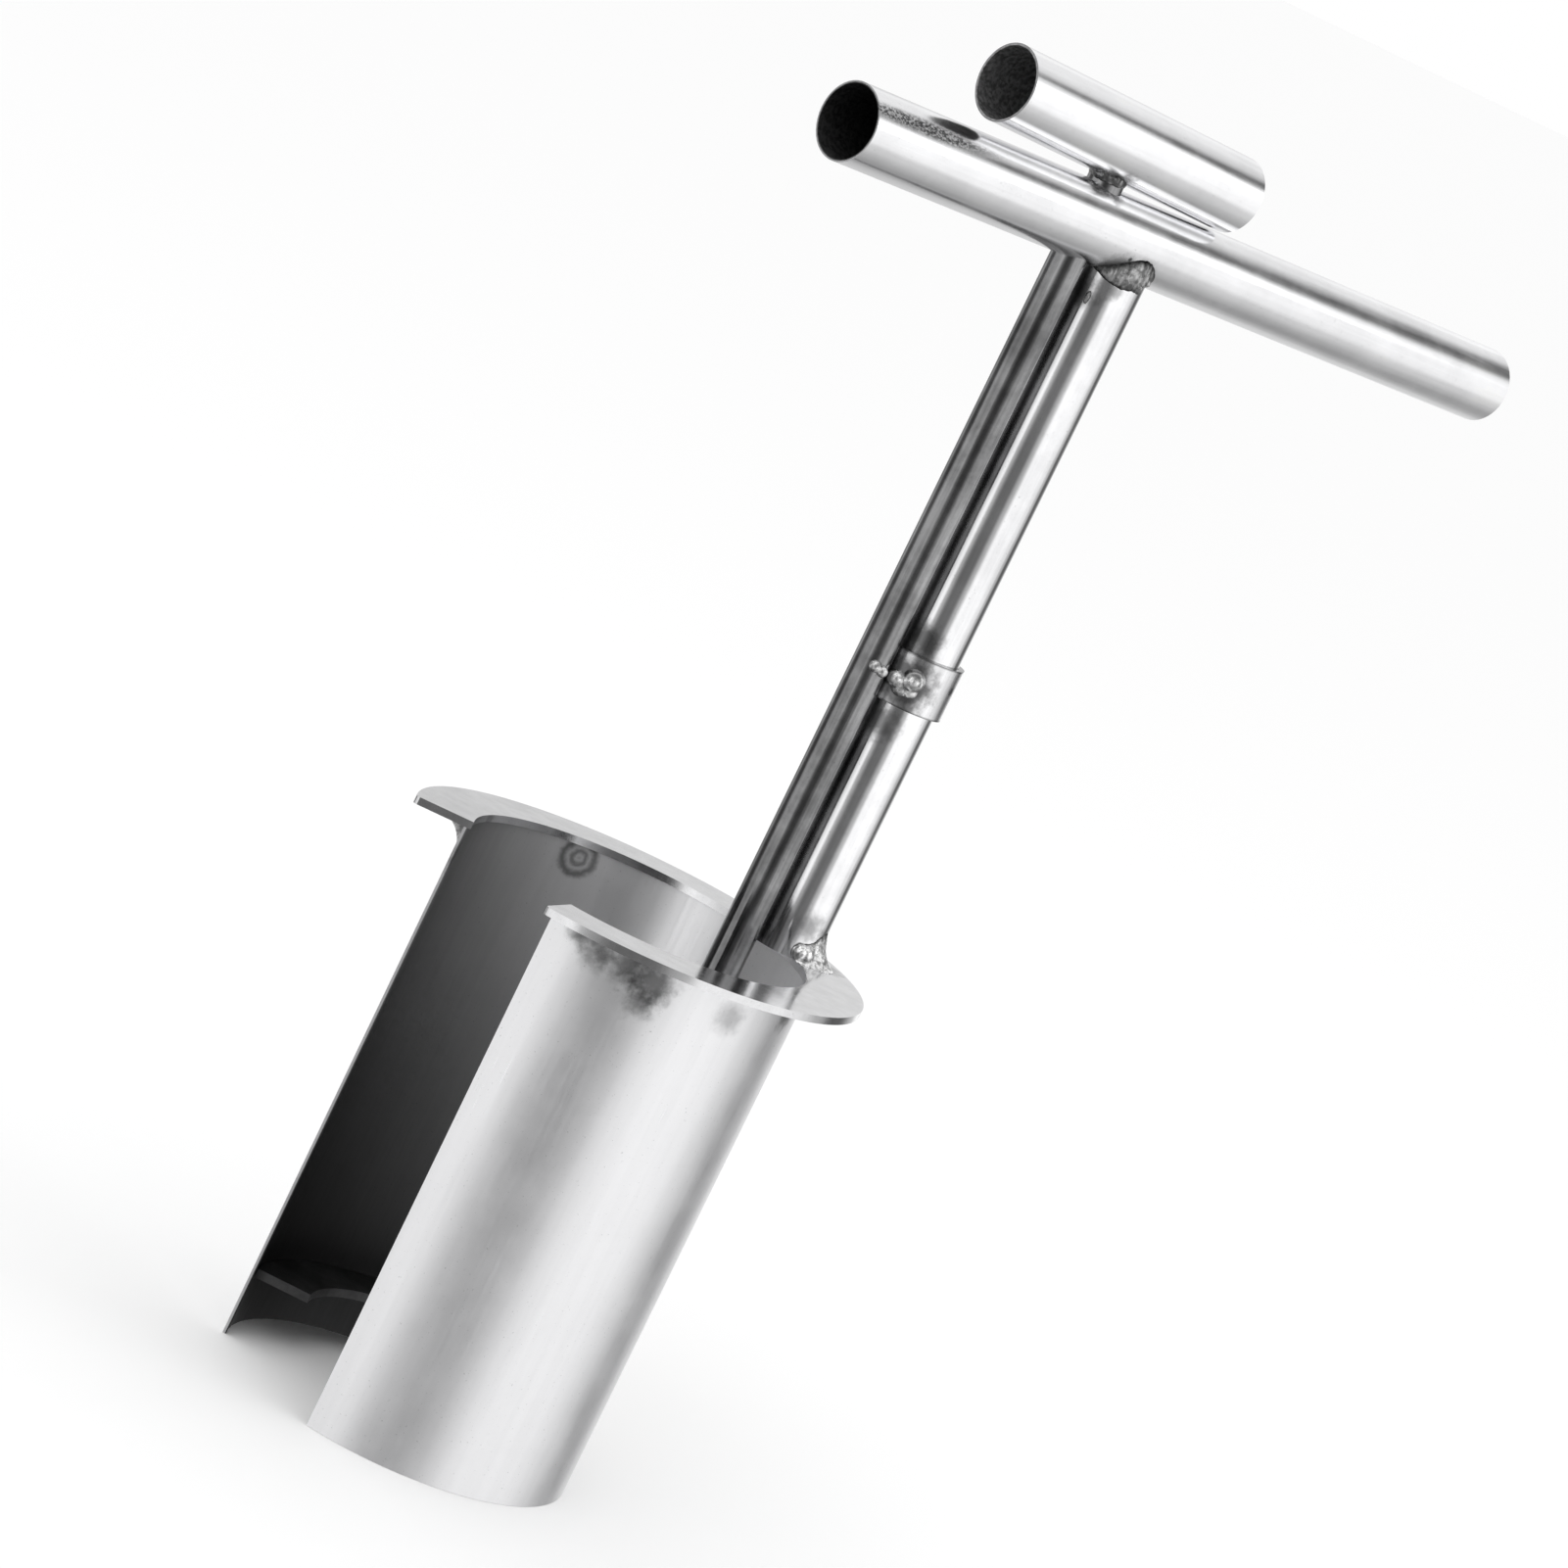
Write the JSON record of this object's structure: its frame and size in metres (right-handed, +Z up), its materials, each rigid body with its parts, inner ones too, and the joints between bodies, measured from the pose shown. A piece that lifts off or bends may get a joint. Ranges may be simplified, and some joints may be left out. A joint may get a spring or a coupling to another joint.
{
  "type": "slotted soil corer with sliding ejector",
  "caption": "Hand soil corer: slotted open barrel under a foot flange, shaft tube with crossbar handle, and a sliding ejector rod with its own small handle.",
  "frame": {"origin": "centre of the barrel's bottom rim", "axes": "+Z up the barrel and shaft, +X from the barrel's slot towards the shaft tube"},
  "size_m": [0.3205, 0.154, 0.4726],
  "materials": {
    "sheet_steel": "bright rolled stainless sheet",
    "tube_steel": "bright stainless tube",
    "plate_steel": "bright cut stainless plate",
    "rod_steel": "darker round bar",
    "weld_bead": "uncleaned weld bead with heat tint"
  },
  "bodies": {
    "corer_frame": {"barrel_shell": "sheet_steel", "foot_flange": "plate_steel", "flange_tack_welds": "weld_bead", "shaft_tube": "tube_steel", "flange_shaft_weld": "weld_bead", "crossbar": "tube_steel", "crossbar_weld": "weld_bead"},
    "ejector": {"ejector_rod": "rod_steel", "ejector_handle": "tube_steel", "ejector_handle_weld": "weld_bead", "guide_band": "tube_steel", "guide_band_weld": "weld_bead", "pusher_ring": "plate_steel", "pusher_weld": "weld_bead"}
  },
  "joints": [
    {"name": "ejector_slide", "type": "slide", "parent": "corer_frame", "child": "ejector", "axis": [0, 0, 1], "range_m": [0, 0.12]}
  ]
}
